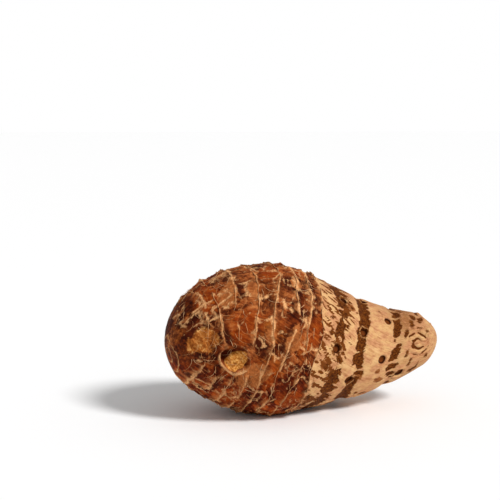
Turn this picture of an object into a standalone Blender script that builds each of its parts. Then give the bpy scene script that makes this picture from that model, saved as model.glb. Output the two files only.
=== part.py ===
"""Taro root: one pear-shaped side corm, lying on its side, in one solid.

The body is round in section: an ellipse at the broad end, then a taper to a blunt,
rounded narrow end, along a line that sways up and down and bends a little.  What stands out of it
or is sunk into it (the rings and ribs of old leaf sheath, two bands of leaf scar, the
bud in its socket, the pits of lost rootlets, a scraped patch and the round scar near
the narrow end) is worked out by formula and added to its radius.

A place on the body is t, from 0 at the broad end to 1 at the narrow end, and
phi, from 0 on top, through 90 degrees on the front (-Y), to 180 underneath.
Lengths are in millimetres until the mesh is made.
"""
import math

import bmesh
import bpy
import numpy as np

NAME = "taro_corm"
MM = 0.001

# Driving dimensions
LENGTH = 105.0
THICKNESS = 55.0
TIP_THICKNESS = 15.0       # what the taper runs down to at the narrow end
FULLEST = 0.38             # where along the body it is thickest
TAPER_POWER = 1.2          # 1 for a straight taper, more for a fuller shoulder
TIP_ROUNDING = 0.08        # share of the length over which the narrow end is rounded
RISE = 2.0                 # how much higher the line's narrow end is than its broad end
SWAY = 3.0                 # how far the line rises in the broad half and dips in the narrow one
BEND = 3.0                 # how far the line's middle lies to the back of its ends
SEAT_DEPTH = 1.7           # how much of the underside is cut flat, so that it rests still

# The sphere that is shaped into the body
SEGMENTS = 66
RINGS = 90
EVEN_OUT = 0.15            # moves its rings from the ends towards the middle

# Leaf rings of the sheathed half: they grow further apart towards the narrow end
RING_COUNT = 8
FIRST_RING = 0.07
SHEATH_END = 0.46          # the last ring, where the sheath ends and the bare half starts
RING_SPREAD = 1.15
RING_HEIGHT = 0.9
RING_HALF_WIDTH = 1.3
RING_WAVER = 0.007         # how far a ring strays along the body, in t
RING_LEAN = 0.03           # how much further on a ring lies on top than halfway down, in t
SHEATH_LEAN = 0.035        # how much more than that the rings in the sheath's middle lean

# Bands of leaf scar on the bare half, a little sunk
SCAR_BANDS = (0.65, 0.80)
BAND_DEPTH = 0.75
BAND_HALF_WIDTH = 2.2

# Ribs of leaf sheath that join the rings of the broad half, like a net
RIB_COUNT = 16
RIB_HEIGHT = 0.8
RIB_HALF_WIDTH = 1.7
RIB_WAVER = 0.10           # how far a rib strays round the body, in radians

# Bud: it stands in a socket with a raised rim
BUD_PLACE = (0.16, 95.0)
SOCKET_RADIUS = 5.0
SOCKET_DEPTH = 3.2
RIM_HEIGHT = 1.4
RIM_HALF_WIDTH = 1.5
BUD_RADIUS = 3.5
BUD_HEIGHT = 2.4
BUD_OFFSET = 1.0           # towards the narrow end of the socket

# Patch where the skin has been scraped off
PATCH_PLACE = (0.09, 70.0)
PATCH_RADIUS = 5.5
PATCH_DEPTH = 0.8

# Scar of the stalk that held it to the mother corm
SCAR_PLACE = (0.90, 85.0)
SCAR_RADIUS = 5.0
SCAR_DEPTH = 0.5
SCAR_STEP = 2.4            # from one of its rings to the next
SCAR_RING_HEIGHT = 0.4

# Small knobs beside the narrow tip, round its upper side
KNOB_COUNT = 3
KNOB_T = 0.95
KNOB_SPAN = (0.0, 60.0)
KNOB_RADIUS = 1.7
KNOB_HEIGHT = 0.8

# Pits of lost rootlets, spread evenly by the golden ratio
PIT_COUNT = 22
PIT_SPAN = (0.50, 0.84)
PIT_RADIUS = 2.0
PIT_DEPTH = 1.2
PIT_RIM_HEIGHT = 0.4
GOLDEN_SHARE = 0.618034


def centreline(t):
    """Points of the centreline and their unit directions, one row for each t."""
    along = (t - 0.5) * LENGTH
    aside = BEND * np.sin(math.pi * t)
    lift = RISE * t + SWAY * np.sin(2 * math.pi * t)
    points = np.stack((along, aside, lift), axis=1)
    aside_slope = BEND * math.pi * np.cos(math.pi * t)
    lift_slope = RISE + SWAY * 2 * math.pi * np.cos(2 * math.pi * t)
    slopes = np.stack((np.full_like(t, LENGTH), aside_slope, lift_slope), axis=1)
    return points, slopes / np.linalg.norm(slopes, axis=1, keepdims=True)


def radius(t):
    """Radius of the body without relief: broad end, taper and rounded narrow end."""
    before = np.clip(1 - t / FULLEST, 0, 1)
    past = np.clip((t - FULLEST) / (1 - FULLEST), 0, 1)
    last = np.clip((t - 1 + TIP_ROUNDING) / TIP_ROUNDING, 0, 1)
    taper = THICKNESS - (THICKNESS - TIP_THICKNESS) * past**TAPER_POWER
    return taper / 2 * np.sqrt(1 - before**2) * np.sqrt(1 - last**2)


def bump(distance, half_width):
    """A rounded bump, 1 in its middle and near 0 at twice its half-width."""
    return np.exp(-((distance / half_width) ** 2))


def fade(value, start, end):
    """0 before start, 1 after end, smooth between."""
    u = np.clip((value - start) / (end - start), 0, 1)
    return u * u * (3 - 2 * u)


def offset_from(place, t, phi):
    """How far each point is from a place, along the body and round it."""
    place_t, place_phi = place
    turn = (phi - math.radians(place_phi) + math.pi) % (2 * math.pi) - math.pi
    along = (t - place_t) * LENGTH
    around = turn * radius(np.array([place_t]))[0]
    return along, around


def ring_places():
    steps = np.linspace(0, 1, RING_COUNT)
    return FIRST_RING + (SHEATH_END - FIRST_RING) * steps**RING_SPREAD


def lean(place):
    return RING_LEAN + SHEATH_LEAN * np.sin(math.pi * np.clip(place / SHEATH_END, 0, 1))


def stray(place, index, phi):
    """How far a ring or band wanders along the body as it runs round it, in t."""
    waver = np.sin(2 * phi + 5 * index) + 0.5 * np.sin(5 * phi + 3 * index)
    return lean(place) * np.cos(phi) + RING_WAVER * waver


def leaf_rings(t, phi):
    height = np.zeros_like(t)
    for index, place in enumerate(ring_places()):
        worn = 0.7 + 0.3 * np.sin(7 * phi + 11 * index)
        away = (t - place - stray(place, index, phi)) * LENGTH
        height += RING_HEIGHT * worn * bump(away, RING_HALF_WIDTH)
    return height


def scar_bands(t, phi):
    height = np.zeros_like(t)
    for index, place in enumerate(SCAR_BANDS):
        away = (t - place - stray(place, index + RING_COUNT, phi)) * LENGTH
        height -= BAND_DEPTH * bump(away, BAND_HALF_WIDTH)
    return height


def sheath_ribs(t, phi):
    """Ribs run lengthwise and are staggered from one ring to the next."""
    row = np.searchsorted(ring_places(), t - lean(t) * np.cos(phi))
    spacing = 2 * math.pi / RIB_COUNT
    turned = phi + RIB_WAVER * np.sin(LENGTH * t / 6 + row) + spacing * 0.37 * row
    from_rib = (turned / spacing + 0.5) % 1 - 0.5
    across = from_rib * spacing * radius(t)
    worn = 0.6 + 0.4 * np.sin(3 * phi + 2 * row)
    where = fade(t, 0.03, 0.08) * (1 - fade(t, SHEATH_END - 0.03, SHEATH_END))
    return RIB_HEIGHT * worn * where * bump(across, RIB_HALF_WIDTH)


def bud(t, phi):
    along, around = offset_from(BUD_PLACE, t, phi)
    from_middle = np.hypot(along, around)
    socket = SOCKET_DEPTH * bump(from_middle, SOCKET_RADIUS * 0.75)
    rim = RIM_HEIGHT * bump(from_middle - SOCKET_RADIUS, RIM_HALF_WIDTH)
    core = BUD_HEIGHT * bump(np.hypot(along - BUD_OFFSET, around), BUD_RADIUS * 0.75)
    return rim + core - socket


def scraped_patch(t, phi):
    along, around = offset_from(PATCH_PLACE, t, phi)
    return -PATCH_DEPTH * (1 - fade(np.hypot(along, around), PATCH_RADIUS * 0.7, PATCH_RADIUS))


def stalk_scar(t, phi):
    """Shallow dish with raised rings in it."""
    along, around = offset_from(SCAR_PLACE, t, phi)
    from_middle = np.hypot(along, around)
    inside = 1 - fade(from_middle, SCAR_RADIUS * 0.8, SCAR_RADIUS * 1.2)
    waves = SCAR_RING_HEIGHT * np.cos(2 * math.pi * from_middle / SCAR_STEP)
    return inside * (waves - SCAR_DEPTH)


def knobs(t, phi):
    height = np.zeros_like(t)
    for place_phi in np.linspace(*KNOB_SPAN, KNOB_COUNT):
        away = np.hypot(*offset_from((KNOB_T, place_phi), t, phi))
        height += KNOB_HEIGHT * bump(away, KNOB_RADIUS * 0.75)
    return height


def rootlet_pits(t, phi):
    height = np.zeros_like(t)
    first, last = PIT_SPAN
    for index in range(PIT_COUNT):
        place_t = first + (last - first) * (index + 0.5) / PIT_COUNT
        place_phi = 360 * ((index * GOLDEN_SHARE) % 1)
        from_middle = np.hypot(*offset_from((place_t, place_phi), t, phi))
        height -= PIT_DEPTH * bump(from_middle, PIT_RADIUS * 0.8)
        height += PIT_RIM_HEIGHT * bump(from_middle - PIT_RADIUS * 1.5, PIT_RADIUS * 0.6)
    return height


def relief(t, phi):
    """Height of everything that stands out of the body or is sunk into it."""
    near_bud = bump(np.hypot(*offset_from(BUD_PLACE, t, phi)), SOCKET_RADIUS * 1.2)
    near_patch = bump(np.hypot(*offset_from(PATCH_PLACE, t, phi)), PATCH_RADIUS)
    sheath = (leaf_rings(t, phi) + sheath_ribs(t, phi)) * (1 - near_bud) * (1 - near_patch)
    marks = bud(t, phi) + scraped_patch(t, phi) + stalk_scar(t, phi) + scar_bands(t, phi)
    return sheath + marks + knobs(t, phi) + rootlet_pits(t, phi)


def surface(t, phi):
    """The points of the skin, seated on z = 0 with the origin under the middle."""
    points, forward = centreline(t)
    side = np.cross(forward, (0, 0, 1))
    side /= np.linalg.norm(side, axis=1, keepdims=True)
    up = np.cross(side, forward)
    outward = np.cos(phi)[:, None] * up + np.sin(phi)[:, None] * side
    ends = fade(radius(t), 0, THICKNESS * 0.1)
    points = points + (radius(t) + ends * relief(t, phi))[:, None] * outward
    floor = points[:, 2].min() + SEAT_DEPTH
    points[:, 2] = np.maximum(points[:, 2], floor) - floor
    points[:, :2] -= (points[:, :2].min(axis=0) + points[:, :2].max(axis=0)) / 2
    return points


def corm_mesh():
    """A unit sphere whose points are moved to where the skin is."""
    sphere = bmesh.new()
    bmesh.ops.create_uvsphere(sphere, u_segments=SEGMENTS, v_segments=RINGS, radius=1)
    unit = np.array([vertex.co for vertex in sphere.verts])
    polar = np.arccos(np.clip(-unit[:, 2], -1, 1))
    t = (1 - np.cos(polar + EVEN_OUT * np.sin(2 * polar))) / 2
    phi = np.arctan2(unit[:, 1], unit[:, 0])
    for vertex, point in zip(sphere.verts, surface(t, phi)):
        vertex.co = point * MM
    bmesh.ops.triangulate(sphere, faces=sphere.faces)
    bmesh.ops.recalc_face_normals(sphere, faces=sphere.faces)
    mesh = bpy.data.meshes.new(NAME)
    sphere.to_mesh(mesh)
    sphere.free()
    mesh.shade_smooth()
    return mesh


def skin_material():
    material = bpy.data.materials.new("taro_skin")
    material.use_nodes = True
    shader = material.node_tree.nodes["Principled BSDF"]
    shader.inputs["Base Color"].default_value = (0.36, 0.17, 0.07, 1)
    shader.inputs["Roughness"].default_value = 0.75
    shader.inputs["Metallic"].default_value = 0
    return material


def main():
    for old in list(bpy.data.objects):
        bpy.data.objects.remove(old)
    collection = bpy.data.collections.new("taro_root")
    bpy.context.scene.collection.children.link(collection)
    corm = bpy.data.objects.new(NAME, corm_mesh())
    corm.data.materials.append(skin_material())
    collection.objects.link(corm)


main()
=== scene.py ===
"""Looks of the taro root: its fine skin, papery sheath edges and fibres, on a white studio floor.

A place on the body is t, from 0 at the broad end to 1 at the narrow end, and phi, from
0 on top, through 90 degrees on the front (-Y), to 180 underneath, as in the CAD model.
The body has the CAD model's own formulas, and its rings, bud, pits and scars are repeated
here with finer detail.  Lengths are in millimetres until the meshes are made.
"""
import math

import bmesh
import bpy
import numpy as np
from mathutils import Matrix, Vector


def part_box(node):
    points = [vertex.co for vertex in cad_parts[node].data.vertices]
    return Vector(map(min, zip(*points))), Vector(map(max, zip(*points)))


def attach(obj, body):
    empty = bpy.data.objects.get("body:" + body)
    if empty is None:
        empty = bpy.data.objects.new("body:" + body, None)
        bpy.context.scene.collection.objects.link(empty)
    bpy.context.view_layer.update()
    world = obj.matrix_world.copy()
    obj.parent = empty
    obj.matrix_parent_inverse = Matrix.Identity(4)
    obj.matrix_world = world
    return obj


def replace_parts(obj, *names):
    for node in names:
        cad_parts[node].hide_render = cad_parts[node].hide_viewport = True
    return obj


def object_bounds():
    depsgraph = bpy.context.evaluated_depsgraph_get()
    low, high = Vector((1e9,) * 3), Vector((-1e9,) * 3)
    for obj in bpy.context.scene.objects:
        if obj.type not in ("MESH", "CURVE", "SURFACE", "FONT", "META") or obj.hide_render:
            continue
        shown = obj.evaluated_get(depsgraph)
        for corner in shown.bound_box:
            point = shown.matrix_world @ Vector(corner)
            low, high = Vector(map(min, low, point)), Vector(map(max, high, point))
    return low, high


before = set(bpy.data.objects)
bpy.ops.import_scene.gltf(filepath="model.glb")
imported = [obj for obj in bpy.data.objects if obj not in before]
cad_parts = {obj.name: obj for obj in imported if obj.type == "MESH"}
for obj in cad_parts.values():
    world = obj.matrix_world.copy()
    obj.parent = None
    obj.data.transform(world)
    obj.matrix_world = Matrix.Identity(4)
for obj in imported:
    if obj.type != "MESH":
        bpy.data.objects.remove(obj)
CAD_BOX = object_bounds()
NODE = "taro_corm"
MM = 0.001
RANDOM = np.random.default_rng(7)

# ---- the CAD body's own sizes
LENGTH = 105.0
THICKNESS = 55.0
TIP_THICKNESS = 15.0
FULLEST = 0.38
TAPER_POWER = 1.2
TIP_ROUNDING = 0.08
RISE = 2.0
SWAY = 3.0
BEND = 3.0
SEAT_DEPTH = 1.7
EVEN_OUT = 0.15

RING_COUNT = 8
FIRST_RING = 0.07
SHEATH_END = 0.46
RING_SPREAD = 1.15
RING_HEIGHT = 0.8
RING_HALF_WIDTH = 0.9
RING_WAVER = 0.007
RING_LEAN = 0.03
SHEATH_LEAN = 0.035
SCAR_BANDS = (0.65, 0.80)
BAND_DEPTH = 0.75
BAND_HALF_WIDTH = 2.2

BUD_PLACE = (0.16, 95.0)
SOCKET_RADIUS = 5.0
SOCKET_DEPTH = 3.2
RIM_HEIGHT = 1.0
BUD_RADIUS = 3.5
BUD_HEIGHT = 2.0
BUD_OFFSET = 1.0
PATCH_PLACE = (0.09, 70.0)
PATCH_RADIUS = 5.5
PATCH_DEPTH = 0.8
SCAR_PLACE = (0.90, 85.0)
SCAR_RADIUS = 5.0
SCAR_DEPTH = 0.5
SCAR_STEP = 2.4
SCAR_RING_HEIGHT = 0.4
KNOB_COUNT = 3
KNOB_T = 0.95
KNOB_SPAN = (0.0, 60.0)
KNOB_RADIUS = 1.7
KNOB_HEIGHT = 0.8
PIT_COUNT = 22
PIT_SPAN = (0.50, 0.84)
PIT_RADIUS = 1.7
PIT_DEPTH = 1.2
PIT_RIM_HEIGHT = 0.3
GOLDEN_SHARE = 0.618034

# ---- the fine skin
SEGMENTS = 300
RINGS = 320
FAR = 9.0  # a distance at which no line or mark shows
TWIST = -2.5  # how far streaks turn round the body along it, in radians

LAYER_REACH = 3.0  # how far in front of a ring its layer of sheath rises, and how high
LAYER_HEIGHT = 0.45
LAYER_SHIFT = 37.0  # moves each layer's noise, for a tone of its own
RING_DRIFT = 0.03  # how far a ring's torn edge drifts from the ring's own line, in t
RAGGEDNESS = 1.2  # how far torn edges stray from their lines
EDGE_WEAR = 1.5  # how far the lines draw back where an edge is worn, or only thin
EDGE_THINNING = 0.25
END_STEP = 0.2  # how high the sheath stands over the bare skin at its end
BELLY_REACH = 0.12  # how much further the sheath's remains reach underneath, in t
BELLY_HALF_WIDTH = 28.0  # and over how wide a strip, in degrees
APEX_RINGS = (2.6, 6.0, 10.0)  # radii of the fine rings round the growing point
APEX_END = (0.02, 0.05)  # where along the body these rings give out, in t
OFF_APEX = (0.015, 0.04)  # and where the nets set in

# The sheath's two nets: a cell's size, cells round the body, seed, and the size, seed and
# limits of the noise that wears stretches of them away
COARSE_NET = {"size": 5.0, "count": 26, "seed": 41, "wear": (3.5, 52, 0.42, 0.60)}
FINE_NET = {"size": 2.8, "count": 56, "seed": 47, "wear": (1.8, 53, 0.50, 0.66)}
NET_WEAR = 0.9  # how far the net's lines draw back where they are worn

# Each kind of ridge: its height, its half-width, and how much thinner its pale line is
NET_RIDGE = (0.5, 0.5, 0.15)
FINE_RIDGE = (0.3, 0.4, 0.25)
CREASE_RIDGE = (0.6, 0.5, 0.1)
APEX_RIDGE = (0.5, 0.6, 0.0)

BUD_SQUEEZE = (0.75, 1.1)  # makes the bud's core longer along its slant than across it
BUD_ROUGHNESS = 1.6
RIM_SIDE = 130.0  # the side on which the socket's rim stands highest, in degrees
RIM_HALF_WIDTH = 0.45
PATCH_ROUGHNESS = 2.2
SCAR_ROUGHNESS = 3.2
PIT_SHRINK = (0.75, 0.35)  # least share, and how much more, by which pits differ in size
PIT_SHRINK_STEP = 0.37

CREASE_COUNT = 26
CREASE_SPAN = (0.06, 0.40)  # where creases start, and how far they run, in t
CREASE_RUN = (0.03, 0.07)
CREASE_SLANT = (-14, 14)  # and how far they turn, in degrees
WORN_PATCH = (0.23, 110.0, 6.5, 4.5, -20.0)  # smooth worn skin below the bud, as a mark
TIP_FRILL = 0.955  # where a papery edge stands round the upper side of the tip, and
FRILL_SIDE = 0.2  # the least cosine of phi at which it stands
TIP_TINT = (0.87, 0.06)  # where the narrow end is browner, and over how much of it
TIP_POLE = (0.955, 0.98)  # where the brown scabs give out towards the very tip

# Dark bands of the bare half: place, half-width in mm, and how much of each is worn away
DARK_BANDS = ((0.55, 2.9, 0.44), (SCAR_BANDS[0], 2.5, 0.30), (SCAR_BANDS[1], 1.9, 0.34))

# ---- papery edges and fibres
EDGE_STEPS = 420  # steps of a papery edge once round the body
PAPER = 0.12  # thickness of the papery edges
EDGE_ROOT = 0.3  # how deep they are rooted, and how high they stand at least
EDGE_LIFT = 0.1
EDGE_FRAY = 0.4  # how much higher where they are most ragged
EDGE_LEAN = 0.8  # how far they lean, for each mm of height
EDGE_TORN = 0.45  # the noise below which an edge is torn away
EDGE_CLEARANCE = 1.5  # least height of an edge's foot above the floor
FIBRE_COUNT = 360
FIBRE_STEPS = 7
FIBRE_SIDES = 3
FIBRE_RADIUS = 0.10
FIBRE_TAPER = 0.8  # how much thinner a strand is at its end
FIBRE_START = 0.03  # first place along the body where strands lie
FIBRE_REACH = (2, 7)  # shortest and longest
FIBRE_STRAY = 0.6  # how far their headings stray from round the body, in radians
FIBRE_CURL = 0.9  # and how far each curls along its way
FIBRE_LIFT = 0.35  # how high their middles may rise off the skin
FIBRE_GAP = 0.05  # gap between skin and strand
FIBRE_CLEARANCE = 0.5  # least height above the floor
FIBRE_PLANE = (0.3, 0.5, 0.8)  # a direction that few strands follow, to set their sides by


def centreline(t):
    """Points of the centreline and their unit directions, one row for each t."""
    lift = RISE * t + SWAY * np.sin(2 * math.pi * t)
    points = np.stack(((t - 0.5) * LENGTH, BEND * np.sin(math.pi * t), lift), axis=1)
    aside_slope = BEND * math.pi * np.cos(math.pi * t)
    lift_slope = RISE + SWAY * 2 * math.pi * np.cos(2 * math.pi * t)
    slopes = np.stack((np.full_like(t, LENGTH), aside_slope, lift_slope), axis=1)
    return points, slopes / np.linalg.norm(slopes, axis=1, keepdims=True)


def radius(t):
    """Radius of the body without relief: broad end, taper and rounded narrow end."""
    before = np.clip(1 - t / FULLEST, 0, 1)
    past = np.clip((t - FULLEST) / (1 - FULLEST), 0, 1)
    taper = THICKNESS - (THICKNESS - TIP_THICKNESS) * past**TAPER_POWER
    return taper / 2 * np.sqrt(1 - before**2) * tip_rounding(t)


def tip_rounding(t):
    """1 along the body, falling to 0 over the rounded narrow end."""
    last = np.clip((t - 1 + TIP_ROUNDING) / TIP_ROUNDING, 0, 1)
    return np.sqrt(1 - last**2)


def ring_places():
    """Where along the body each ring of the sheath stands."""
    steps = np.linspace(0, 1, RING_COUNT)
    return FIRST_RING + (SHEATH_END - FIRST_RING) * steps**RING_SPREAD


def scatter(count, span, sizes_along, sizes_around, turns):
    """Marks all round the body in a stretch of it: t, phi, half-sizes in mm and turn in degrees."""
    marks = []
    for _ in range(count):
        place = (RANDOM.uniform(*span), RANDOM.uniform(0, 360))
        sizes = (RANDOM.uniform(*sizes_along), RANDOM.uniform(*sizes_around))
        marks.append((*place, *sizes, RANDOM.uniform(*turns)))
    return marks


def crease_lines():
    """Slanted ridges, each from one place of the sheath to another a few millimetres away."""
    lines = []
    for _ in range(CREASE_COUNT):
        t, phi = RANDOM.uniform(*CREASE_SPAN), RANDOM.uniform(0, 360)
        end = (t + RANDOM.uniform(*CREASE_RUN), phi + RANDOM.uniform(*CREASE_SLANT))
        lines.append(((t, phi), end))
    return lines


# The order of these random draws is part of the look
BROWN_MARKS = (
    scatter(30, (SHEATH_END + 0.02, SHEATH_END + 0.12), (0.6, 1.8), (0.6, 1.8), (-25, 25))
    + scatter(34, (0.83, 0.94), (0.5, 1.3), (0.8, 2.2), (-40, 40))
    + scatter(24, (0.56, 0.80), (0.4, 0.8), (0.3, 0.7), (0, 90))
)
DASH_MARKS = scatter(520, (SHEATH_END, SHEATH_END + 0.13), (0.8, 2.6), (0.2, 0.5), (15, 40))
RUST_MARKS = scatter(12, (0.50, 0.76), (1.0, 2.6), (0.8, 2.2), (-40, 40))
AMBER_MARKS = scatter(26, (0.10, SHEATH_END), (2.5, 5.5), (3.0, 6.0), (0, 30))
MAROON_MARKS = scatter(16, (0.04, 0.40), (2.0, 4.0), (2.0, 4.5), (0, 30))
TAN_MARKS = [WORN_PATCH] + scatter(12, (0.10, 0.42), (1.2, 3.6), (2.0, 5.0), (-15, 15))
CREASES = crease_lines()


def bump(distance, half_width):
    """A rounded bump, 1 in its middle and near 0 at twice its half-width."""
    return np.exp(-((distance / half_width) ** 2))


def fade(value, start, end):
    """0 before start, 1 after end, smooth between."""
    u = np.clip((value - start) / (end - start), 0, 1)
    return u * u * (3 - 2 * u)


def offset_from(place, t, phi):
    """How far each point is from a place, along the body and round it."""
    place_t, place_phi = place
    turn = (phi - math.radians(place_phi) + math.pi) % (2 * math.pi) - math.pi
    return (t - place_t) * LENGTH, turn * radius(np.array([place_t]))[0]


def distance_from(place, t, phi):
    return np.hypot(*offset_from(place, t, phi))


def flow(t, phi):
    """Coordinates that follow the growth of the root: along it, and round it."""
    half = np.where(t < FULLEST, radius(t), THICKNESS / 2 * tip_rounding(t))
    return np.stack((t * LENGTH, np.cos(phi) * half, np.sin(phi) * half), axis=1)


def twisted_flow(t, phi):
    """The same, turned round the body along it, for streaks that run aslant."""
    return flow(t, phi + TWIST * t)


# ---- repeatable noise
# Turns the noise's grid away from the body's own directions, so that it doesn't show
GRID_TURN = np.array(((0.80, 0.60, 0.0), (-0.36, 0.48, 0.80), (0.48, -0.64, 0.60)))

# Factors and shifts that scramble whole numbers, and the count of different results
CELL_FACTORS = (73856093, 19349663, 83492791)
SEED_FACTOR = 1013904223
MIX_FACTOR = np.uint64(2654435761)
MIX_SHIFTS = (13, 7, 17)
LAST_SHIFT = np.uint64(20)
LEVELS = 100003


def hashed(cells, seed):
    """A random number from 0 to 1 for each row of whole numbers."""
    mixed = (cells.astype(np.int64) * CELL_FACTORS).astype(np.uint64)
    value = np.bitwise_xor.reduce(mixed, axis=1) + np.uint64(seed * SEED_FACTOR)
    for shift in MIX_SHIFTS:
        value = (value ^ (value >> np.uint64(shift))) * MIX_FACTOR
    return ((value >> LAST_SHIFT) % np.uint64(LEVELS)).astype(float) / LEVELS


def noise(points, size, seed):
    """Smooth noise from 0 to 1 with lumps of about this size."""
    scaled = points @ GRID_TURN / size
    base = np.floor(scaled)
    part = scaled - base
    part = part * part * (3 - 2 * part)
    total = np.zeros(len(points))
    for corner in np.ndindex(2, 2, 2):
        weight = np.prod(np.where(corner, part, 1 - part), axis=1)
        total += weight * hashed(base + corner, seed)
    return total


def fractal(points, size, seed, octaves=3):
    """Noise from 0 to 1 with finer lumps on its lumps."""
    total = sum(noise(points, size / 2**k, seed + k) / 2**k for k in range(octaves))
    return total / (2 - 2 ** (1 - octaves))


def wander(points, width, size, seed):
    """Fractal noise that lies round 0 and is this wide in all."""
    return width * (fractal(points, size, seed) - 0.5)


def stretches(points, size, seed, start, end):
    """Irregular stretches, from 0 where the noise is under start to 1 where it is over end."""
    return fade(fractal(points, size, seed), start, end)


def cell_net(t, phi, size, count, seed):
    """Irregular cells, count of them round the body: how near a border, and a tone for each."""
    places = flow(t, phi)
    along = t * LENGTH / size + wander(places, 0.7, size * 0.8, seed)
    around = phi / (2 * math.pi) * count + wander(places, 0.6, size * 0.6, seed + 9)
    row = np.floor(along)
    column = np.floor(around)
    near = np.full(len(t), FAR)
    second = np.full(len(t), FAR)
    tone = np.zeros(len(t))
    for down, right in np.ndindex(3, 3):
        cell_row, cell_column = row + down - 1, column + right - 1
        cell = np.stack((cell_row, cell_column % count, np.zeros(len(t))), axis=1)
        centre_along = cell_row + hashed(cell, seed + 1)
        centre_around = cell_column + hashed(cell, seed + 2)
        distance = np.hypot(along - centre_along, around - centre_around)
        closer = distance < near
        second = np.where(closer, near, np.minimum(second, distance))
        tone = np.where(closer, hashed(cell, seed + 3), tone)
        near = np.where(closer, distance, near)
    return second - near, tone


# ---- relief
def lean(place):
    """How far a ring leans along the body to each side of its middle, in t."""
    return RING_LEAN + SHEATH_LEAN * np.sin(math.pi * np.clip(place / SHEATH_END, 0, 1))


def ring_stray(place, index, phi):
    """How far a ring or band wanders along the body as it runs round it, in t."""
    waver = np.sin(2 * phi + 5 * index) + 0.5 * np.sin(5 * phi + 3 * index)
    drift = wander(flow(np.zeros_like(phi) + place, phi), RING_DRIFT, size=9.0, seed=100 + index)
    return lean(place) * np.cos(phi) + RING_WAVER * waver + drift


def torn_edge(places):
    """How far the sheath's torn edges stray from their lines."""
    return wander(places, RAGGEDNESS, size=2.2, seed=21)


def rings(t, phi):
    """The torn rings: distance to their lines, height, distance past the nearest, and layer."""
    places = flow(t, phi)
    ragged = torn_edge(places)
    away = np.full(len(t), FAR)
    nearest = np.full(len(t), FAR)
    past = np.full(len(t), -FAR)
    height = np.zeros(len(t))
    layer_number = np.zeros(len(t))
    for index, ring_t in enumerate(ring_places()):
        along = (t - ring_t - ring_stray(ring_t, index, phi)) * LENGTH + ragged
        worn = 1 - stretches(places, 6.0, 30 + index, 0.28, 0.48)
        thin = stretches(places, 4.0, 160 + index, 0.35, 0.65)
        distance = np.abs(along) + EDGE_WEAR * worn + EDGE_THINNING * thin
        away = np.minimum(away, distance)
        closer = np.abs(along) < nearest
        nearest = np.where(closer, np.abs(along), nearest)
        past = np.where(closer, along - FAR * worn, past)
        height = np.maximum(height, RING_HEIGHT * bump(distance, RING_HALF_WIDTH))
        layer = fade(along, -LAYER_REACH, 0) * (1 - fade(along, 0, 0.4))
        height = np.maximum(height, LAYER_HEIGHT * (1 - 0.8 * worn) * layer)
        layer_number += along > 0
    return away, height, past, layer_number


def past_sheath(t, phi):
    """How far past the sheath's torn end each point is, along the body."""
    places = flow(t, phi)
    from_below = np.arccos(np.clip(-np.cos(phi), -1, 1))
    belly = bump(from_below, math.radians(BELLY_HALF_WIDTH))
    reach = BELLY_REACH * belly * (0.5 + fractal(places, size=4.0, seed=29))
    last = SHEATH_END + ring_stray(SHEATH_END, RING_COUNT - 1, phi)
    return (t - last - reach) * LENGTH + torn_edge(places)


def net_lines(t, phi, size, count, seed, wear):
    """Distance to a net's ridges where they aren't worn away, and each cell's tone."""
    border, tone = cell_net(t, phi, size, count, seed)
    worn = 1 - stretches(flow(t, phi), *wear)
    away = border * size / 2 + NET_WEAR * worn
    return away + FAR * (1 - fade(t, *OFF_APEX)), tone


def apex(t, phi):
    """Distance to the fine rings round the growing point in the middle of the broad end."""
    places = flow(t, phi)
    reach = radius(t) + wander(places, 4.0, size=5.0, seed=97)
    away = np.min([np.abs(reach - ring) for ring in APEX_RINGS], axis=0)
    return away + 0.4 * fractal(places, size=2.0, seed=98) + FAR * fade(t, *APEX_END)


def scar_bands(t, phi):
    """Height, below 0, of the two shallow bands that leaf scars left."""
    height = np.zeros(len(t))
    for index, place in enumerate(SCAR_BANDS):
        away = (t - place - ring_stray(place, index + RING_COUNT, phi)) * LENGTH
        height -= BAND_DEPTH * bump(away, BAND_HALF_WIDTH)
    return height


def dark_bands(t, phi):
    """0.5 on the ragged outline of the dark bands, more inside them and less outside."""
    places = flow(t, phi)
    value = np.full(len(t), -FAR)
    for index, (place, half, worn) in enumerate(DARK_BANDS):
        away = np.abs(t - place - ring_stray(place, index + RING_COUNT - 1, phi)) * LENGTH
        width = half * (0.35 + 1.3 * fractal(places, size=6.0, seed=64 + index))
        kept = stretches(places * (0.6, 1, 1), 3.2, 67 + index, worn, worn + 0.08)
        value = np.maximum(value, (width - away) / 1.6 - 1.5 * (1 - kept))
    return np.clip(0.5 + value + wander(places, 1.3, size=1.5, seed=73), 0, 1)


def creases(t, phi):
    """Distance to the nearest of the ridges that don't run round the body."""
    bend = wander(flow(t, phi), 0.8, size=2.0, seed=23)
    away = np.full(len(t), FAR)
    for (start_t, start_phi), (end_t, end_phi) in CREASES:
        along = (t - start_t) * LENGTH
        around = (phi - math.radians(start_phi)) * radius(t)
        step = (end_t - start_t) * LENGTH
        turn = math.radians(end_phi - start_phi) * radius(t)
        share = np.clip((along * step + around * turn) / (step**2 + turn**2), 0, 1)
        distance = np.hypot(along - share * step, around - share * turn)
        away = np.minimum(away, np.abs(distance + bend))
    return away


def field(marks, t, phi, ramp=2.0, warp=0.8):
    """0.5 on the outline of the nearest mark, more inside it and less outside."""
    bend = wander(flow(t, phi), warp, size=2.0, seed=61)
    value = np.full(len(t), -FAR)
    for mark_t, mark_phi, half_along, half_around, turn in marks:
        along, around = offset_from((mark_t, mark_phi), t - RING_LEAN * np.cos(phi), phi)
        cos, sin = math.cos(math.radians(turn)), math.sin(math.radians(turn))
        length = (along * cos + around * sin) / half_along
        width = (around * cos - along * sin) / half_around
        inside = (1 - np.hypot(length, width)) * min(half_along, half_around) / ramp
        value = np.maximum(value, inside)
    return np.clip(0.5 + value + bend, 0, 1)


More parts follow.
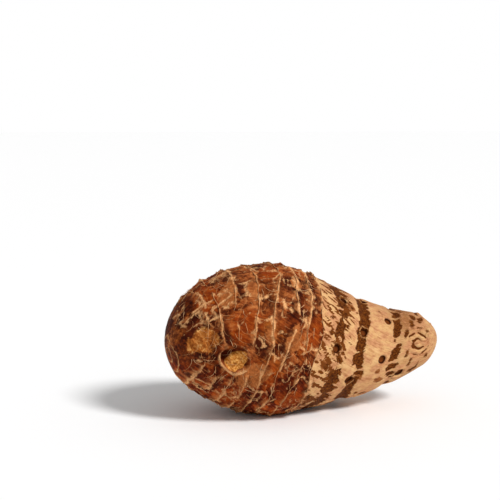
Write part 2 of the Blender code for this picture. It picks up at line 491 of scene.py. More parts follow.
def pits(t, phi):
    """Height of the rootlet pits, how deep in one each point is, and how near its rim."""
    height = np.zeros(len(t))
    inside = np.zeros(len(t))
    rim = np.zeros(len(t))
    first, last = PIT_SPAN
    least, more = PIT_SHRINK
    uneven = 0.85 + 0.3 * noise(flow(t, phi), size=1.2, seed=77)
    for index in range(PIT_COUNT):
        place_t = first + (last - first) * (index + 0.5) / PIT_COUNT
        place = (place_t, 360 * ((index * GOLDEN_SHARE) % 1))
        shrink = least + more * ((index * PIT_SHRINK_STEP) % 1)
        away = distance_from(place, t, phi) * uneven * shrink
        well = 1 - fade(away, PIT_RADIUS * 0.55, PIT_RADIUS * 1.05)
        edge = bump(away - PIT_RADIUS * 1.3, PIT_RADIUS * 0.25)
        height += PIT_RIM_HEIGHT * edge - PIT_DEPTH * well
        inside = np.maximum(inside, well)
        rim = np.maximum(rim, edge)
    return height, inside, rim


def bud(t, phi):
    """The bud in its socket: height, distance to the socket's rim, and shares of core and socket."""
    along, around = offset_from(BUD_PLACE, t, phi)
    places = flow(t, phi)
    away = np.hypot(along, around) + (noise(places, size=2.5, seed=83) - 0.5)
    along_core = (along - around) / math.sqrt(2) * BUD_SQUEEZE[0]
    across_core = ((along + around) / math.sqrt(2) - BUD_OFFSET) * BUD_SQUEEZE[1]
    core_away = np.hypot(along_core, across_core) + wander(places, 1.0, size=2.0, seed=84)
    socket = 1 - fade(away, SOCKET_RADIUS * 0.6, SOCKET_RADIUS)
    core = 1 - fade(core_away, BUD_RADIUS * 0.6, BUD_RADIUS * 1.15)
    facing = np.cos(np.arctan2(around, along) - math.radians(RIM_SIDE))
    rim_share = 0.45 + 0.55 * fade(facing, -0.2, 0.5)
    rim = bump(away - SOCKET_RADIUS, RIM_HALF_WIDTH) * rim_share
    height = RIM_HEIGHT * rim + BUD_HEIGHT * core - SOCKET_DEPTH * socket
    height += wander(places, BUD_ROUGHNESS * core, size=1.8, seed=85)
    rim_away = np.abs(away - SOCKET_RADIUS) + 0.8 * (1 - rim_share)
    return height, rim_away, core, socket


def stalk_scar(t, phi):
    """The scar where the root sat on its mother corm, a rough spiral: height, line and share."""
    along, around = offset_from(SCAR_PLACE, t, phi)
    away = np.hypot(along, around)
    places = np.stack((along, around, np.zeros_like(along)), axis=1)
    spiral = SCAR_STEP * np.arctan2(around, along) / (2 * math.pi)
    spread = away + wander(places, SCAR_ROUGHNESS, size=4.0, seed=91) + spiral
    inside = 1 - fade(away, SCAR_RADIUS * 0.8, SCAR_RADIUS * 1.25)
    waves = np.cos(2 * math.pi * spread / SCAR_STEP)
    broken = stretches(places, 2.6, 92, 0.34, 0.50) * fade(away, 0.6, 1.4)
    line = inside * fade(-waves, 0.0, 0.8) * broken
    return inside * (SCAR_RING_HEIGHT * waves - SCAR_DEPTH), line, inside


def scraped_patch(t, phi):
    """1 in the scraped patch beside the bud, 0 outside it."""
    away = distance_from(PATCH_PLACE, t, phi) + wander(flow(t, phi), 5.0, size=4.5, seed=55)
    return 1 - fade(away, PATCH_RADIUS * 0.5, PATCH_RADIUS * 1.15)


class Skin:
    """The skin at these places: the height of its relief, and its colour fields."""

    def __init__(self, t, phi):
        self.t, self.phi = t, phi
        self.places = flow(t, phi)
        self.ring_away, self.ring_height, self.past_ring, self.layer_number = rings(t, phi)
        self.past_end = past_sheath(t, phi)
        self.sheathed = 1 - fade(self.past_end, -0.5, 0.5)
        net_away, self.tone = net_lines(t, phi, **COARSE_NET)
        fine_away, self.fine_tone = net_lines(t, phi, **FINE_NET)
        self.ridges = (
            (net_away, NET_RIDGE),
            (fine_away, FINE_RIDGE),
            (creases(t, phi), CREASE_RIDGE),
            (apex(t, phi), APEX_RIDGE),
        )
        self.patch = scraped_patch(t, phi)
        self.plain = (1 - bump(distance_from(BUD_PLACE, t, phi), SOCKET_RADIUS)) * (1 - self.patch)
        self.pit_height, self.pit_inside, self.pit_rim = pits(t, phi)
        self.bud_height, self.rim_away, self.bud_core, self.bud_hollow = bud(t, phi)
        self.scar_height, self.scar_line, self.in_scar = stalk_scar(t, phi)
        scabs = field(BROWN_MARKS, t, phi) - 0.6 * self.in_scar - 0.8 * fade(t, *TIP_POLE)
        self.brown = np.maximum(scabs, dark_bands(t, phi))

    def sheath_height(self):
        """The sheath's torn rings, ridges and streaks, off the bud and the patch."""
        ridges = [height * bump(away, half) for away, (height, half, _) in self.ridges]
        net = self.sheathed * np.max(ridges, axis=0)
        step = END_STEP * (1 - fade(self.past_end, -0.4, 0.5))
        twisted = twisted_flow(self.t, self.phi) * (0.25, 1, 1)
        uneven = wander(twisted, 0.8, size=1.0, seed=57) + 0.3 * (self.tone - 0.5)
        uneven = self.sheathed * fade(self.t, 0.02, 0.10) * uneven
        return self.plain * (np.maximum(self.ring_height + step, net) + uneven)

    def height(self):
        """Height of the skin above the plain body."""
        height = self.sheath_height()
        height += wander(self.places, 0.14 + 0.45 * self.sheathed, size=0.9, seed=58)
        height -= 0.25 * fade(self.brown, 0.4, 0.7) * (1 - self.sheathed)
        rough = wander(self.places, PATCH_ROUGHNESS, size=2.2, seed=59)
        height += self.patch * (rough - PATCH_DEPTH)
        for knob_phi in np.linspace(*KNOB_SPAN, KNOB_COUNT):
            away = distance_from((KNOB_T, knob_phi), self.t, self.phi)
            height += KNOB_HEIGHT * bump(away, KNOB_RADIUS * 0.7)
        height += self.pit_height + self.bud_height + self.scar_height
        return height + scar_bands(self.t, self.phi)

    def line_away(self):
        """Distance to the nearest pale line: torn rings, ridges and the rim of the bud's socket."""
        lines = [away + thinner for away, (_, _, thinner) in self.ridges]
        away = np.min([self.ring_away, *lines], axis=0)
        away = away + 2.0 * (1 - self.plain) + 2.0 * fade(self.past_end, 0.2, 1.2)
        return np.minimum(away, self.rim_away)

    def fields(self):
        """What the skin's material reads, by name."""
        t, phi = self.t, self.phi
        off_apex = fade(t, *OFF_APEX)
        layers = self.places + LAYER_SHIFT * self.layer_number[:, None]
        tip = bump(t - TIP_TINT[0], TIP_TINT[1]) * (0.3 + 0.7 * fade(np.cos(phi), 0.1, 0.8))
        return {
            "past_end": self.past_end,
            "past_ring": self.past_ring - FAR * (1 - self.plain),
            "line": self.line_away(),
            "tone": 0.5 + (self.tone - 0.5) * off_apex,
            "fine_tone": 0.5 + (self.fine_tone - 0.5) * off_apex,
            "layer": fractal(layers, size=9.0, seed=151, octaves=2),
            "brown": self.brown,
            "dash": field(DASH_MARKS, t, phi, ramp=0.3, warp=0.5),
            "rust": field(RUST_MARKS, t, phi, ramp=1.5),
            "pit": self.pit_inside,
            "pit_rim": self.pit_rim,
            "tip": tip * (1 - self.in_scar),
            "under": fade(-np.cos(phi), -0.1, 0.7),
            "amber": field(AMBER_MARKS, t, phi, ramp=5.0),
            "maroon": field(MAROON_MARKS, t, phi, ramp=4.0),
            "tan": field(TAN_MARKS, t, phi, ramp=2.5),
            "patch": self.patch,
            "bud": self.bud_core,
            "hollow": self.bud_hollow,
            "scar": self.scar_line,
        }


# ---- meshes
def skin_points(t, phi, height):
    """Points of the skin at this height above the plain body, before they are seated."""
    points, forward = centreline(t)
    side = np.cross(forward, (0, 0, 1))
    side /= np.linalg.norm(side, axis=1, keepdims=True)
    up = np.cross(side, forward)
    outward = np.cos(phi)[:, None] * up + np.sin(phi)[:, None] * side
    ends = fade(radius(t), 0, THICKNESS * 0.1)
    return points + (radius(t) + ends * height)[:, None] * outward


def seating(points):
    """Height of the floor, which cuts the underside flat, and offset from the CAD model."""
    floor = points[:, 2].min() + SEAT_DEPTH
    low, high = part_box(NODE)
    middle = (points[:, :2].min(axis=0) + points[:, :2].max(axis=0)) / 2
    return floor, middle - np.array(((low.x + high.x) / 2, (low.y + high.y) / 2)) / MM


def seat(points, floor, middle):
    """Flattens what is under the floor and moves the root to where the CAD model has it."""
    points = points.copy()
    points[:, 2] = np.maximum(points[:, 2], floor) - floor
    points[:, :2] -= middle
    return points


def add_object(name, data):
    obj = bpy.data.objects.new(name, data)
    bpy.context.scene.collection.objects.link(obj)
    return obj


def add_piece(name, mesh, material):
    """An object of this mesh that rides on the root and shares its material slot."""
    obj = add_object(name, mesh)
    mesh.materials.append(material)
    mesh.shade_smooth()
    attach(obj, "root")
    return obj


def shape_mesh(name, create, **settings):
    shape = bmesh.new()
    create(shape, **settings)
    mesh = bpy.data.meshes.new(name)
    shape.to_mesh(mesh)
    shape.free()
    return mesh


def sphere_places(mesh):
    """The place on the body that each point of the sphere moves to, with the ends evened out."""
    unit = np.zeros(len(mesh.vertices) * 3)
    mesh.vertices.foreach_get("co", unit)
    x, y, z = unit.reshape(-1, 3).T
    polar = np.arccos(np.clip(-z, -1, 1))
    return (1 - np.cos(polar + EVEN_OUT * np.sin(2 * polar))) / 2, np.arctan2(y, x)


def corm_skin(material):
    """A fine sphere whose points are moved to where the skin is, with its colour fields."""
    sphere = {"u_segments": SEGMENTS, "v_segments": RINGS, "radius": 1}
    mesh = shape_mesh("corm_skin", bmesh.ops.create_uvsphere, **sphere)
    t, phi = sphere_places(mesh)
    skin = Skin(t, phi)
    points = skin_points(t, phi, skin.height())
    floor, middle = seating(points)
    mesh.vertices.foreach_set("co", (seat(points, floor, middle) * MM).ravel())
    mesh.flip_normals()
    for name, values in skin.fields().items():
        mesh.attributes.new(name, "FLOAT", "POINT").data.foreach_set("value", values)
    for name, vectors in (("flow", flow(t, phi)), ("twisted", twisted_flow(t, phi))):
        attribute = mesh.attributes.new(name, "FLOAT_VECTOR", "POINT")
        attribute.data.foreach_set("vector", vectors.ravel())
    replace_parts(add_piece("corm_skin", mesh, material), NODE)
    return floor, middle


def toned_mesh(name, points, faces, tone):
    """A mesh from points in millimetres, with a tone for each."""
    mesh = bpy.data.meshes.new(name)
    mesh.from_pydata((points * MM).tolist(), [], faces)
    mesh.attributes.new("tone", "FLOAT", "POINT").data.foreach_set("value", tone)
    return mesh


def thicken(mesh):
    """Gives the strips of a mesh the thickness of paper, and drops its unused points."""
    solid = bmesh.new()
    solid.from_mesh(mesh)
    loose = [vertex for vertex in solid.verts if not vertex.link_faces]
    bmesh.ops.delete(solid, geom=loose, context="VERTS")
    bmesh.ops.solidify(solid, geom=solid.faces[:], thickness=PAPER * MM)
    bmesh.ops.recalc_face_normals(solid, faces=solid.faces)
    solid.to_mesh(mesh)
    solid.free()


def edge_points(foot, phi, ragged):
    """A papery edge's lower points, sunk into the skin, and its upper ones."""
    lift = EDGE_LIFT + EDGE_FRAY * ragged
    head = foot - EDGE_LEAN * lift / LENGTH
    low = skin_points(foot, phi, Skin(foot, phi).height() - EDGE_ROOT)
    high = skin_points(head, phi, Skin(head, phi).height() + lift)
    return low, high


def edge_kept(index, foot, phi):
    """Where a papery edge isn't torn away, and stays clear of the bud and the scraped patch."""
    near_marks = distance_from(BUD_PLACE, foot, phi) < SOCKET_RADIUS * 1.3
    near_marks |= distance_from(PATCH_PLACE, foot, phi) < PATCH_RADIUS
    torn = fractal(flow(foot, phi), size=5.0, seed=140 + index) < EDGE_TORN
    return ~(near_marks | torn)


def sheath_edges(material, floor, middle):
    """Papery torn edges that stand up along the leaf rings and lean to the broad end."""
    rows, faces, tones = [], [], []
    phi = np.linspace(0, 2 * math.pi, EDGE_STEPS, endpoint=False)
    for index, ring_t in enumerate([*ring_places(), TIP_FRILL]):
        foot = np.clip(ring_t + ring_stray(ring_t, index, phi), 0.01, 0.99)
        ragged = fractal(flow(foot, phi), size=1.6, seed=120 + index)
        low, high = edge_points(foot, phi, ragged)
        kept = edge_kept(index, foot, phi) & (low[:, 2] >= floor + EDGE_CLEARANCE)
        if ring_t == TIP_FRILL:
            kept &= np.cos(phi) >= FRILL_SIDE
        below = 2 * EDGE_STEPS * index
        above = below + EDGE_STEPS
        rows += [low, high]
        tones += [ragged, ragged]
        for step in range(EDGE_STEPS):
            following = (step + 1) % EDGE_STEPS
            if kept[step] and kept[following]:
                faces.append((below + step, below + following, above + following, above + step))
    points = seat(np.concatenate(rows), floor, middle)
    mesh = toned_mesh("sheath_edges", points, faces, np.concatenate(tones))
    thicken(mesh)
    add_piece("sheath_edges", mesh, material)


def strands():
    """Where the fibres' points lie: t, phi and height above the skin."""
    share = np.linspace(0, 1, FIBRE_STEPS)
    each = (FIBRE_COUNT, 1)
    start_t = RANDOM.uniform(FIBRE_START, SHEATH_END, each)
    start_phi = RANDOM.uniform(0, 2 * math.pi, each)
    reach = RANDOM.uniform(*FIBRE_REACH, each)
    heading = RANDOM.normal(math.pi / 2, FIBRE_STRAY, each)
    heading = heading + RANDOM.normal(0, FIBRE_CURL, each) * share
    t = np.clip(start_t + reach * share * np.cos(heading) / LENGTH, 0.01, SHEATH_END + 0.01)
    from_axis = np.maximum(radius(t.ravel()).reshape(t.shape), 4)
    phi = start_phi + reach * share * np.sin(heading) / from_axis
    lift = RANDOM.uniform(0, FIBRE_LIFT, each) * np.sin(math.pi * share) + FIBRE_GAP
    return t.ravel(), phi.ravel(), lift.ravel()


def tube_faces(count):
    """Sides and ends of this many tubes, whose corners run ring by ring."""
    faces = []
    for tube in range(count):
        first = tube * FIBRE_STEPS * FIBRE_SIDES
        end = first + (FIBRE_STEPS - 1) * FIBRE_SIDES
        for ring in range(first, end, FIBRE_SIDES):
            for side in range(FIBRE_SIDES):
                here, beside = ring + side, ring + (side + 1) % FIBRE_SIDES
                faces.append((here, beside, beside + FIBRE_SIDES, here + FIBRE_SIDES))
        faces.append(tuple(range(first + FIBRE_SIDES - 1, first - 1, -1)))
        faces.append(tuple(range(end, end + FIBRE_SIDES)))
    return faces


def tube_corners(lines):
    """Corners of tapered tubes round lines of points."""
    ahead = np.gradient(lines, axis=1)
    ahead /= np.linalg.norm(ahead, axis=2, keepdims=True)
    across = np.cross(ahead, FIBRE_PLANE)
    across /= np.linalg.norm(across, axis=2, keepdims=True)
    above = np.cross(ahead, across)
    width = FIBRE_RADIUS * (1 - FIBRE_TAPER * np.linspace(0, 1, FIBRE_STEPS))[None, :, None]
    turns = [2 * math.pi * side / FIBRE_SIDES for side in range(FIBRE_SIDES)]
    sides = [lines + width * (math.cos(turn) * across + math.sin(turn) * above) for turn in turns]
    return np.stack(sides, axis=2).reshape(-1, 3)


def fibres(material, floor, middle):
    """Loose tapered strands that lie on the sheath, most of them round the body."""
    t, phi, lift = strands()
    centres = skin_points(t, phi, Skin(t, phi).height() + lift)
    lines = seat(centres, floor, middle).reshape(FIBRE_COUNT, FIBRE_STEPS, 3)
    tone = RANDOM.uniform(0, 1, FIBRE_COUNT)
    kept = lines[:, :, 2].min(axis=1) > FIBRE_CLEARANCE
    tones = np.repeat(tone[kept], FIBRE_STEPS * FIBRE_SIDES)
    corners, faces = tube_corners(lines[kept]), tube_faces(kept.sum())
    add_piece("fibres", toned_mesh("fibres", corners, faces, tones), material)


# ---- shader nodes
ATTRIBUTE_VECTOR, ATTRIBUTE_VALUE = 1, 2  # outputs of Blender's Attribute node
MIX_SHARE, MIX_FIRST, MIX_SECOND, MIX_RESULT = 0, 6, 7, 2  # the Mix node's colour sockets


def colour(value):
    return value if isinstance(value, bpy.types.NodeSocket) else (*value, 1)


class Nodes:
    """Short names for the nodes of one material."""

    def __init__(self, name):
        self.material = bpy.data.materials.new(name)
        self.material.use_nodes = True
        self.tree = self.material.node_tree
        self.shader = self.tree.nodes["Principled BSDF"]

    def add(self, kind, inputs, output=0, **settings):
        node = self.tree.nodes.new(kind)
        for key, value in settings.items():
            setattr(node, key, value)
        for key, value in inputs.items():
            self.set(node.inputs[key], value)
        return node.outputs[output]

    def set(self, socket, value):
        if isinstance(value, bpy.types.NodeSocket):
            self.tree.links.new(value, socket)
        else:
            socket.default_value = value

    def field(self, name):
        return self.add("ShaderNodeAttribute", {}, output=ATTRIBUTE_VALUE, attribute_name=name)

    def vector(self, name, stretch=(1, 1, 1)):
        source = self.add("ShaderNodeAttribute", {}, output=ATTRIBUTE_VECTOR, attribute_name=name)
        return self.add("ShaderNodeVectorMath", {0: source, 1: stretch}, operation="MULTIPLY")

    def noise(self, vector, size, detail=4, roughness=0.6):
        inputs = {"Vector": vector, "Scale": 1 / size, "Detail": detail, "Roughness": roughness}
        return self.add("ShaderNodeTexNoise", inputs)

    def math(self, operation, first, second):
        return self.add("ShaderNodeMath", {0: first, 1: second}, operation=operation)

    def weighted(self, *terms):
        """The sum of some values, each times its weight."""
        total = None
        for value, weight in terms:
            term = value if weight == 1 else self.math("MULTIPLY", value, weight)
            total = term if total is None else self.math("ADD", total, term)
        return total

    def around(self, value, noise, width):
        """The value, moved up or down by a noise of this width."""
        shift = self.math("MULTIPLY", self.math("SUBTRACT", noise, 0.5), width)
        return self.math("ADD", value, shift)

    def step(self, value, start, end, low=0.0, high=1.0):
        """Low before the start, high after the end, smooth between."""
        inputs = {"Value": value, "From Min": start, "From Max": end, "To Min": low, "To Max": high}
        return self.add("ShaderNodeMapRange", inputs, interpolation_type="SMOOTHSTEP")

    def band(self, value, rise, fall):
        """0 before the rise and after the fall, 1 between them."""
        return self.math("MULTIPLY", self.step(value, *rise), self.step(value, *fall, 1.0, 0.0))

    def edge(self, name, grain, strength, softness=0.12):
        """1 inside a field's outline at 0.5, broken up by the grain, and 0 outside."""
        shift = self.math("MULTIPLY_ADD", grain, strength)
        shift.node.inputs[2].default_value = -strength / 2
        moved = self.math("ADD", self.field(name), shift)
        return self.step(moved, 0.5 - softness, 0.5 + softness)

    def mix(self, share, first, second, most=1.0, blend="MIX"):
        """The first colour, turned into the second by the share, at most this far."""
        if most < 1:
            share = self.math("MULTIPLY", share, most)
        node = self.tree.nodes.new("ShaderNodeMix")
        node.data_type = "RGBA"
        node.blend_type = blend
        self.set(node.inputs[MIX_SHARE], share)
        self.set(node.inputs[MIX_FIRST], colour(first))
        self.set(node.inputs[MIX_SECOND], colour(second))
        return node.outputs[MIX_RESULT]

    def ramp(self, share, stops):
        node = self.tree.nodes.new("ShaderNodeValToRGB")
        elements = node.color_ramp.elements
        while len(elements) < len(stops):
            elements.new(0.5)
        for element, (place, tone) in zip(elements, stops):
            element.position = place
            element.color = (*tone, 1)
        self.set(node.inputs[0], share)
        return node.outputs[0]


# ---- materials
# Linear red, green and blue.  A ramp's stops are places from 0 to 1, each with a colour.
BROWNS = ((0, (0.028, 0.004, 0.0005)), (0.3, (0.082, 0.014, 0.002)),
          (0.65, (0.27, 0.066, 0.013)), (1, (0.5, 0.165, 0.05)))
OCHRES = ((0, (0.045, 0.009, 0.001)), (0.3, (0.13, 0.032, 0.005)),
          (0.65, (0.42, 0.155, 0.034)), (1, (0.66, 0.3, 0.09)))
PINKS = ((0, (0.06, 0.012, 0.004)), (0.3, (0.165, 0.044, 0.015)),
         (0.65, (0.5, 0.205, 0.09)), (1, (0.72, 0.37, 0.19)))
LIT_LAYER = (*PINKS[:3], (1, (0.8, 0.43, 0.23)))
DEEP_LAYER = ((0, (0.018, 0.002, 0.0005)), (0.5, (0.1, 0.018, 0.004)), (1, (0.27, 0.07, 0.02)))
REDS = ((0, (0.03, 0.003, 0.0005)), (0.5, (0.23, 0.03, 0.003)), (1, (0.68, 0.17, 0.025)))
AMBER = ((0.3, (0.19, 0.028, 0.002)), (0.5, (0.36, 0.075, 0.008)), (0.7, (0.56, 0.19, 0.04)))
MAROON = ((0.3, (0.03, 0.003, 0.0005)), (0.7, (0.12, 0.018, 0.004)))
TAN = ((0.3, (0.26, 0.08, 0.022)), (0.65, (0.56, 0.25, 0.11)))
SCRAPED = ((0.38, (0.19, 0.042, 0.005)), (0.5, (0.47, 0.165, 0.036)), (0.61, (0.84, 0.5, 0.21)))
# Painted light on the broad side of each torn ring
LIT_EDGE = ((0.3, (0.34, 0.11, 0.034)), (0.65, (0.66, 0.3, 0.13)))
# Painted shadow on the narrow side of each torn ring
RING_SHADOW = (0.045, 0.008, 0.002)
PALE_LINE = ((0.35, (0.58, 0.26, 0.11)), (0.62, (1.0, 0.66, 0.4)))
SHEATH_SHADE = (0.88, 0.72, 0.58)  # deepens the sheath under its pale lines

CREAM = ((0, (0.42, 0.2, 0.085)), (0.4, (0.64, 0.39, 0.21)), (1, (0.8, 0.57, 0.36)))
ROSY = ((0, (0.38, 0.165, 0.085)), (0.4, (0.62, 0.34, 0.215)), (1, (0.74, 0.46, 0.31)))
RUSTY = ((0.3, (0.11, 0.025, 0.006)), (0.5, (0.26, 0.085, 0.026)), (0.7, (0.48, 0.24, 0.1)))
SCABS = ((0.34, (0.032, 0.007, 0.0005)), (0.5, (0.105, 0.026, 0.002)), (0.66, (0.27, 0.095, 0.018)))
HATCHING = (0.33, 0.14, 0.04)
DASHES = (0.17, 0.05, 0.008)
SCAR_LINE = (0.13, 0.035, 0.006)

PIT_RIM = (0.74, 0.45, 0.24)
PIT_WALL = (0.045, 0.009, 0.001)
PIT_FLOOR = (0.26, 0.075, 0.018)
SOCKET = (0.085, 0.012, 0.003)
BUD = ((0.34, (0.24, 0.07, 0.008)), (0.5, (0.58, 0.24, 0.055)), (0.64, (0.92, 0.6, 0.24)))
WARMTH = (0.97, 0.84, 0.62)  # takes off the cold cast of the white studio's light
STRAW = ((0.1, (0.34, 0.13, 0.04)), (0.5, (0.56, 0.26, 0.1)), (0.9, (0.78, 0.46, 0.23)))

BUMP_DEPTH = 0.4  # depth of the finest relief, which the shader adds
SKIN_SHINE = 0.05
STRAW_SHINE = 0.2
STRAW_ROUGHNESS = 0.75
EDGE_WAVER = 1.1  # how far the grain moves the edges of rings and lines


class SkinNodes(Nodes):
    """The nodes of the skin's material, with the noises that its colours share."""

    def __init__(self, name):
        super().__init__(name)
        self.place = self.vector("flow")
        self.grain = self.noise(self.place, 0.8, detail=5, roughness=0.7)
        self.streak = self.noise(self.vector("twisted", (0.2, 1, 1)), 0.9, detail=5, roughness=0.7)
        self.patches = self.noise(self.place, 4.0, roughness=0.65)
        self.fine = self.noise(self.place, 0.35, detail=3, roughness=0.7)


def sheath_tones(nodes):
    """Browns, ochres and pinks of the sheath, lit or deep by its layers, and redder underneath."""
    tone, fine_tone = nodes.field("tone"), nodes.field("fine_tone")
    shade = nodes.weighted(
        (nodes.patches, 0.6), (nodes.streak, 0.6), (tone, 0.12), (fine_tone, 0.10))
    shade = nodes.step(shade, 0.50, 0.98)
    ochre = nodes.weighted((nodes.noise(nodes.place, 9.0, detail=3), 1), (tone, 0.35))
    mirrored = nodes.vector("flow", (1, -1, 1))
    pink = nodes.weighted((nodes.noise(mirrored, 10.0, detail=3), 1), (fine_tone, 0.22))
    layer = nodes.around(nodes.field("layer"), nodes.grain, 0.25)
    sheath = nodes.ramp(shade, BROWNS)
    for share, tones in (
        (nodes.step(ochre, 0.66, 0.88, 0.0, 0.8), OCHRES),
        (nodes.step(pink, 0.62, 0.84, 0.0, 0.9), PINKS),
        (nodes.step(layer, 0.52, 0.66, 0.0, 0.55), LIT_LAYER),
        (nodes.step(layer, 0.34, 0.50, 0.60, 0.0), DEEP_LAYER),
    ):
        sheath = nodes.mix(share, sheath, nodes.ramp(shade, tones))
    return nodes.mix(nodes.field("under"), sheath, nodes.ramp(shade, REDS), most=0.85)


def sheath_marks(nodes, sheath):
    """The sheath with its amber, maroon and tan marks, shaded, and with the scraped patch."""
    amber = nodes.edge("amber", nodes.grain, 0.8, 0.3)
    sheath = nodes.mix(amber, sheath, nodes.ramp(nodes.streak, AMBER), most=0.85)
    maroon = nodes.edge("maroon", nodes.grain, 0.9, 0.35)
    sheath = nodes.mix(maroon, sheath, nodes.ramp(nodes.grain, MAROON), most=0.60)
    tan = nodes.edge("tan", nodes.grain, 1.0, 0.15)
    sheath = nodes.mix(tan, sheath, nodes.ramp(nodes.grain, TAN))
    sheath = nodes.mix(1.0, sheath, SHEATH_SHADE, blend="MULTIPLY")
    lumps = nodes.weighted((nodes.grain, 0.5), (nodes.patches, 0.5))
    return nodes.mix(nodes.edge("patch", nodes.grain, 1.3, 0.3), sheath, nodes.ramp(lumps, SCRAPED))


def sheath_lines(nodes, sheath, line):
    """The sheath with painted light on the broad side of each torn ring, painted shadow on its
    narrow side, and its pale lines.
    """
    past_ring = nodes.around(nodes.field("past_ring"), nodes.grain, EDGE_WAVER)
    # Painted light on the broad side of each torn ring, stronger in places
    before = nodes.band(past_ring, (-2.6, -0.2), (0.0, 0.3))
    kept = nodes.step(nodes.noise(nodes.place, 2.2), 0.42, 0.62, 0.1, 0.75)
    lit = nodes.ramp(nodes.grain, LIT_EDGE)
    sheath = nodes.mix(nodes.math("MULTIPLY", before, kept), sheath, lit)
    # Painted shadow on the narrow side of each torn ring, deeper in places
    ring_shadow = nodes.band(past_ring, (0.0, 0.5), (0.7, 3.4))
    deep = nodes.step(nodes.noise(nodes.place, 3.0), 0.40, 0.60, 0.1, 0.65)
    sheath = nodes.mix(nodes.math("MULTIPLY", ring_shadow, deep), sheath, RING_SHADOW)
    return nodes.mix(line, sheath, nodes.ramp(nodes.fine, PALE_LINE), most=0.95)


def bare_skin(nodes):
    """Pale skin with hatching, a browner tip, rusty marks, dashes, brown scabs and the scar."""
    light = nodes.step(nodes.weighted((nodes.patches, 0.5), (nodes.streak, 0.5)), 0.3, 0.7)
    creamy = nodes.step(nodes.patches, 0.42, 0.58)
    pale = nodes.mix(creamy, nodes.ramp(light, ROSY), nodes.ramp(light, CREAM))
    hatch = nodes.noise(nodes.vector("twisted", (0.12, 1, 1)), 0.45, detail=3, roughness=0.7)
    pale = nodes.mix(nodes.step(hatch, 0.56, 0.68, 0.0, 0.55), pale, HATCHING)
    tip = nodes.math("MULTIPLY", nodes.field("tip"), nodes.step(nodes.patches, 0.38, 0.52))
    pale = nodes.mix(tip, pale, nodes.ramp(nodes.grain, RUSTY), most=0.8)
    rust = nodes.edge("rust", nodes.grain, 0.9, 0.15)
    pale = nodes.mix(rust, pale, nodes.ramp(nodes.streak, RUSTY))
    pale = nodes.mix(nodes.edge("dash", nodes.grain, 0.5, 0.1), pale, DASHES)
    pale = nodes.mix(nodes.edge("brown", nodes.grain, 1.5), pale, nodes.ramp(nodes.grain, SCABS))
    return nodes.mix(nodes.edge("scar", nodes.grain, 0.9, 0.2), pale, SCAR_LINE)


def pits_and_bud(nodes, skin):
    """The skin with its rootlet pits, and the yellow bud in its dark socket."""
    rim = nodes.step(nodes.field("pit_rim"), 0.5, 0.9)
    rim = nodes.math("MULTIPLY", rim, nodes.step(nodes.grain, 0.42, 0.58))
    skin = nodes.mix(rim, skin, PIT_RIM, most=0.6)
    skin = nodes.mix(nodes.step(nodes.field("pit"), 0.15, 0.45), skin, PIT_WALL)
    skin = nodes.mix(nodes.step(nodes.field("pit"), 0.75, 0.98, 0.0, 0.6), skin, PIT_FLOOR)
    skin = nodes.mix(nodes.step(nodes.field("hollow"), 0.5, 0.9), skin, SOCKET)
    core = nodes.ramp(nodes.grain, BUD)
    return nodes.mix(nodes.step(nodes.field("bud"), 0.35, 0.6), skin, core)


def skin_material():
    """The whole skin: sheath up to its torn end and bare skin past it, with pits and the bud."""
    nodes = SkinNodes("taro_skin")
    line = nodes.around(nodes.field("line"), nodes.grain, EDGE_WAVER)
    line = nodes.step(line, 0.05, 0.75, 1.0, 0.0)
    sheath = sheath_lines(nodes, sheath_marks(nodes, sheath_tones(nodes)), line)
    past_end = nodes.around(nodes.field("past_end"), nodes.grain, EDGE_WAVER)
    skin = nodes.mix(nodes.step(past_end, -0.15, 0.15), sheath, bare_skin(nodes))
    skin = nodes.mix(1.0, pits_and_bud(nodes, skin), WARMTH, blend="MULTIPLY")
    nodes.set(nodes.shader.inputs["Base Color"], skin)
    nodes.set(nodes.shader.inputs["Specular IOR Level"], SKIN_SHINE)
    nodes.set(nodes.shader.inputs["Roughness"], nodes.step(nodes.grain, 0.2, 0.8, 0.5, 0.75))
    rough = nodes.weighted((nodes.grain, 1), (line, 1), (nodes.fine, 0.6))
    inputs = {"Strength": 1.0, "Distance": BUMP_DEPTH * MM, "Height": rough}
    nodes.set(nodes.shader.inputs["Normal"], nodes.add("ShaderNodeBump", inputs))
    return nodes.material


def straw_material():
    """The dry, papery remains: from brown to straw, by each piece's own tone."""
    nodes = Nodes("taro_straw")
    nodes.set(nodes.shader.inputs["Base Color"], nodes.ramp(nodes.field("tone"), STRAW))
    nodes.set(nodes.shader.inputs["Roughness"], STRAW_ROUGHNESS)
    nodes.set(nodes.shader.inputs["Specular IOR Level"], STRAW_SHINE)
    return nodes.material


# ---- studio
CAMERA_AZIMUTH = -17.0
CAMERA_HEIGHT = 6.0
CAMERA_DISTANCE = 440.0
CAMERA_LENS = 85.0
CAMERA_NEAR = 10.0
AIM_ASIDE = -20.0  # the root lies to the right of the picture's middle, and below it
AIM_ABOVE = 32.0

FLOOR_HALF = 20.0  # half the floor's side, in metres
FLOOR_WHITE = (0.97, 0.97, 0.97, 1)
FLOOR_ROUGHNESS = 0.9
SKY_LIGHT = 0.45  # how strongly the white surround lights the root
SKY_SEEN = 1.0  # and how bright the camera sees it
KEY_DIRECTION = (0.45, -0.60, 0.66)
KEY_STRENGTH = 2.9
KEY_SOFTNESS = 14  # in degrees


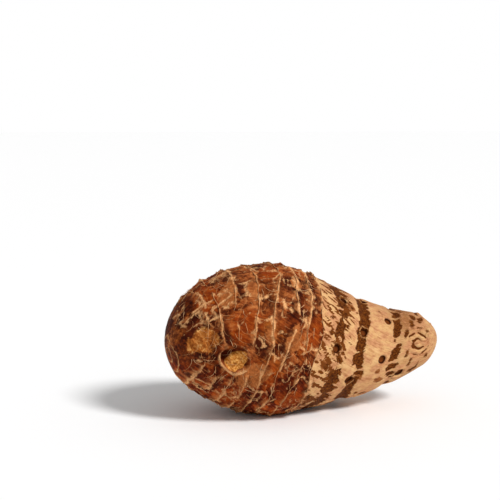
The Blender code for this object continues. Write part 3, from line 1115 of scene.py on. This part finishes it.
def camera():
    turn, rise = math.radians(CAMERA_AZIMUTH), math.radians(CAMERA_HEIGHT)
    level = math.cos(rise)
    back = np.array((math.sin(turn) * level, -math.cos(turn) * level, math.sin(rise)))
    right = np.array((math.cos(turn), math.sin(turn), 0))
    centre = (np.array(CAD_BOX[0]) + np.array(CAD_BOX[1])) / 2 / MM
    aim = centre + AIM_ASIDE * right + AIM_ABOVE * np.cross(back, right)
    obj = add_object("camera", bpy.data.cameras.new("camera"))
    obj.data.lens = CAMERA_LENS
    obj.data.clip_start = CAMERA_NEAR * MM
    obj.location = (aim + back * CAMERA_DISTANCE) * MM
    obj.rotation_euler = (math.pi / 2 - rise, 0, turn)
    bpy.context.scene.camera = obj


def sun(name, direction, strength, softness):
    """A light from this direction, whose shadows soften by the angle in degrees."""
    light = bpy.data.lights.new(name, "SUN")
    light.energy = strength
    light.angle = math.radians(softness)
    x, y, z = direction
    tilt = math.atan2(math.hypot(x, y), z)
    add_object(name, light).rotation_euler = (tilt, 0, math.atan2(y, x) + math.pi / 2)


def studio_floor():
    square = {"x_segments": 1, "y_segments": 1, "size": FLOOR_HALF}
    mesh = shape_mesh("studio_floor", bmesh.ops.create_grid, **square)
    white = bpy.data.materials.new("studio_white")
    white.use_nodes = True
    shader = white.node_tree.nodes["Principled BSDF"]
    shader.inputs["Base Color"].default_value = FLOOR_WHITE
    shader.inputs["Roughness"].default_value = FLOOR_ROUGHNESS
    mesh.materials.append(white)
    add_object("studio_floor", mesh)


def studio_world():
    """A white surround, which the camera sees brighter than it lights the root."""
    world = bpy.data.worlds.new("studio_world")
    bpy.context.scene.world = world
    world.use_nodes = True
    tree = world.node_tree
    background = tree.nodes["Background"]
    background.inputs["Color"].default_value = (1, 1, 1, 1)
    seen = tree.nodes.new("ShaderNodeLightPath").outputs["Is Camera Ray"]
    strength = tree.nodes.new("ShaderNodeMapRange")
    strength.inputs["To Min"].default_value = SKY_LIGHT
    strength.inputs["To Max"].default_value = SKY_SEEN
    tree.links.new(seen, strength.inputs["Value"])
    tree.links.new(strength.outputs["Result"], background.inputs["Strength"])


floor_height, plan_middle = corm_skin(skin_material())
straw = straw_material()
sheath_edges(straw, floor_height, plan_middle)
fibres(straw, floor_height, plan_middle)
studio_floor()
studio_world()
sun("key", KEY_DIRECTION, KEY_STRENGTH, KEY_SOFTNESS)
camera()
bpy.context.scene.view_settings.view_transform = "Standard"
